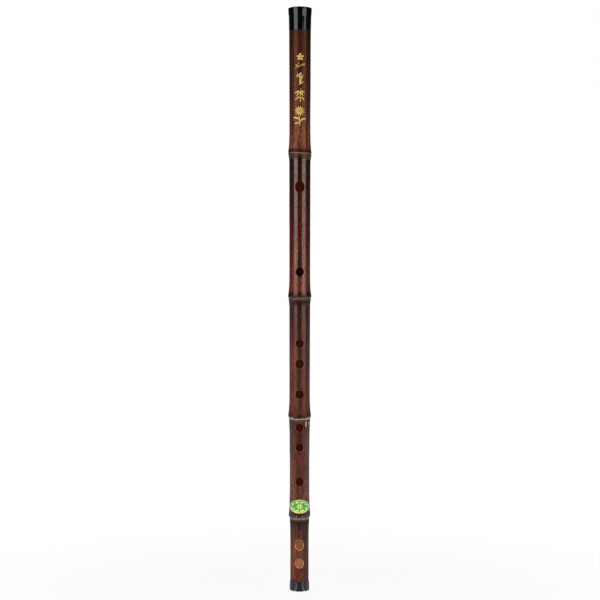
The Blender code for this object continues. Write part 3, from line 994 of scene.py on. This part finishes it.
# The foil: a square grid drawn into an oval, whose `flat` map is taken before it is wrapped round
bm = bmesh.new()
bmesh.ops.create_grid(bm, x_segments=LABEL_COLUMNS, y_segments=LABEL_ROWS, size=1.0)
flat_layer = bm.loops.layers.uv.new("flat")
for vertex in bm.verts:
    u, v, _ = vertex.co
    turn = math.asin(u * math.sqrt(1 - v * v / 2) * math.sin(WIDEST_TURN))
    vertex.co = (turn, v * math.sqrt(1 - u * u / 2), 0.0)
for face in bm.faces:
    for loop in face.loops:
        turn, v, _ = loop.vert.co
        loop[flat_layer].uv = ((turn / WIDEST_TURN + 1) / 2, (v + 1) / 2)
for vertex in bm.verts:
    turn, v, _ = vertex.co
    up_culm = LABEL_HEIGHT + LABEL_LENGTH / 2 * v
    out = culm_radius(up_culm) + LABEL_GAP
    vertex.co = (out * math.sin(turn), -out * math.cos(turn), up_culm)
mesh = bpy.data.meshes.new("foil_label")
bm.to_mesh(mesh)
bm.free()
mesh.materials.append(foil)
label = piece_of("foil_label", mesh)
solidify = label.modifiers.new("Foil", "SOLIDIFY")
solidify.thickness = LABEL_THICKNESS
solidify.offset = 1.0
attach(label, "flute")
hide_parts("label")


# The studio: a pale floor that fades to white, soft boxes to the left and right that leave the culm's
# two long highlights, a lamp by the lens that shines into the holes, and a soft box behind.
CAMERA_DISTANCE = 1.616
CAMERA_HEIGHT = 0.3192
CAMERA_ASIDE = 0.0003
CAMERA_LENS = 88.09
CAMERA_ROLL = math.radians(-0.06)
FLOOR_RADIUS = 1.4
FLOOR_DROP = 0.1 * MM
FLOOR_GLOW = 0.93  # how much of the floor the camera sees as plain white near the flute, out of 1
FADE_START = 0.12
FADE_END = 0.5
# The floor's painted glow, seen only in polished surfaces: dark in front, pale aside, and a painted pool of
# lamp light under the soft boxes
FLOOR_IN_FRONT = (0.15, 0.15, 0.15, 1.0)  # this and the next two are what polished surfaces mirror
FLOOR_ASIDE = (0.8, 0.8, 0.8, 1.0)
FLOOR_PAINTED_LAMP_POOL = (4.0, 4.0, 4.0, 1.0)
SIDES_BELOW = 0.85  # the studio's sides, below the horizon
CEILING = 0.8
DARK_ROOM = 0.03  # what they mirror of the room, between its bright parts
ROOM_FILL = 0.12  # what rough surfaces get from it


def lamp(name, bearing, distance, bottom, top, width, radiance, glossy=True):
    """A soft box that faces the flute's axis, at a bearing from the front, in degrees."""
    light = bpy.data.lights.new(name, "AREA")
    light.shape = "RECTANGLE"
    light.size = width
    light.size_y = top - bottom
    light.energy = radiance * math.pi * width * (top - bottom)
    box = bpy.data.objects.new(name, light)
    turn = math.radians(bearing)
    box.location = (distance * math.sin(turn), -distance * math.cos(turn), (top + bottom) / 2)
    box.rotation_euler = (math.pi / 2, 0.0, turn)
    box.visible_camera = False
    box.visible_glossy = glossy
    bpy.context.scene.collection.objects.link(box)


lamp("left_soft_box", -44.4, 0.9, bottom=0.14, top=0.98, width=0.635, radiance=2.8)
lamp("right_soft_box", 44.5, 0.9, bottom=0.14, top=0.74, width=0.68, radiance=2.6)
lamp("right_upper_soft_box", 53.8, 0.9, bottom=0.74, top=0.98, width=0.25, radiance=2.6)
lamp("lamp_by_the_lens", 0, 1.55, bottom=0.2, top=0.44, width=0.24, radiance=30.0, glossy=False)
lamp("back_soft_box", 180, 1.0, bottom=0.1, top=1.0, width=0.5, radiance=3.0, glossy=False)

floor_paper, tree, place = material_tree("floor_paper")
axes = tree.axes(place)
away = hypot(axes["X"], axes["Y"])
seen_by = tree.add("ShaderNodeLightPath")
mirrored = seen_by["Is Glossy Ray"].math("MAXIMUM", seen_by["Is Transmission Ray"])
tooth = grain(tree, place, 1 * MM, 1 * MM)
paper = mix(tooth, seen(228, 228, 228), seen(236, 236, 236))
paper = tree.add("ShaderNodeBsdfDiffuse", {}, {"Color": paper})
glow = tree.add("ShaderNodeEmission", {}, {"Color": (1.0, 1.0, 1.0, 1.0), "Strength": 1.0})
fade = seen_by["Is Camera Ray"] * (FLOOR_GLOW + (1 - FLOOR_GLOW) * ease(away, FADE_START, FADE_END))
surface = tree.add("ShaderNodeMixShader", {}, {0: fade, 1: paper["BSDF"], 2: glow["Emission"]})["Shader"]
turned_aside = axes["X"].math("ABSOLUTE") / away
aside = ease(turned_aside, 0.7, 0.88)
# A painted pool of lamp light on the floor under the soft boxes, which only reflections see
painted_lamp_pool = hill(turned_aside - 0.56, 0.1) * ease(axes["Y"], 0.0, -0.01) * (1 - ease(away, 0.2, 0.5))
shine = mix(aside.math("MAXIMUM", ease(axes["Y"], 0.9, 1.1)), FLOOR_IN_FRONT, FLOOR_ASIDE)
shine = mix(painted_lamp_pool, shine, FLOOR_PAINTED_LAMP_POOL)
shine = tree.add("ShaderNodeEmission", {}, {"Color": shine, "Strength": 1.0})["Emission"]
surface = tree.add("ShaderNodeMixShader", {}, {0: mirrored, 1: surface, 2: shine})["Shader"]
tree.add("ShaderNodeOutputMaterial", {}, {"Surface": surface})
bm = bmesh.new()
bmesh.ops.create_circle(bm, cap_ends=True, segments=128, radius=FLOOR_RADIUS)
for vertex in bm.verts:
    vertex.co.z = -FLOOR_DROP
mesh = bpy.data.meshes.new("floor")
bm.to_mesh(mesh)
bm.free()
mesh.materials.append(floor_paper)
floor = bpy.data.objects.new("floor", mesh)
bpy.context.scene.collection.objects.link(floor)
floor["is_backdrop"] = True

world = bpy.data.worlds.new("studio")
world.use_nodes = True
bpy.context.scene.world = world
tree = Tree(world.node_tree)
seen_by = tree.add("ShaderNodeLightPath")
mirrored = seen_by["Is Glossy Ray"].math("MAXIMUM", seen_by["Is Transmission Ray"])
towards = tree.axes(tree.add("ShaderNodeTexCoord")["Generated"])
backdrop = DARK_ROOM + (1 - DARK_ROOM) * ease(towards["Y"], 0.985, 0.992)  # a card behind the flute
low_sides = ease(-towards["Z"], 0.01, 0.06) * ease(towards["X"].math("ABSOLUTE"), 0.6, 0.85)
backdrop = backdrop.math("MAXIMUM", low_sides * SIDES_BELOW)
backdrop = backdrop.math("MAXIMUM", ease(towards["Z"], 0.45, 0.85) * CEILING)
room = mirrored * backdrop + (1 - mirrored) * ROOM_FILL
strength = seen_by["Is Camera Ray"] + (1 - seen_by["Is Camera Ray"]) * room
white = tree.add("ShaderNodeBackground", {}, {"Color": (1.0, 1.0, 1.0, 1.0), "Strength": strength})
tree.add("ShaderNodeOutputWorld", {}, {"Surface": white["Background"]})

camera = bpy.data.objects.new("camera", bpy.data.cameras.new("camera"))
camera.data.lens = CAMERA_LENS
camera.location = (CAMERA_ASIDE, -CAMERA_DISTANCE, CAMERA_HEIGHT)
camera.rotation_euler = (math.pi / 2, CAMERA_ROLL, 0.0)
bpy.context.scene.collection.objects.link(camera)
bpy.context.scene.camera = camera
bpy.context.scene.view_settings.view_transform = "Standard"

low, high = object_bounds()
sizes = {"cad": [list(cad_low), list(cad_high)], "visual": [list(low), list(high)]}
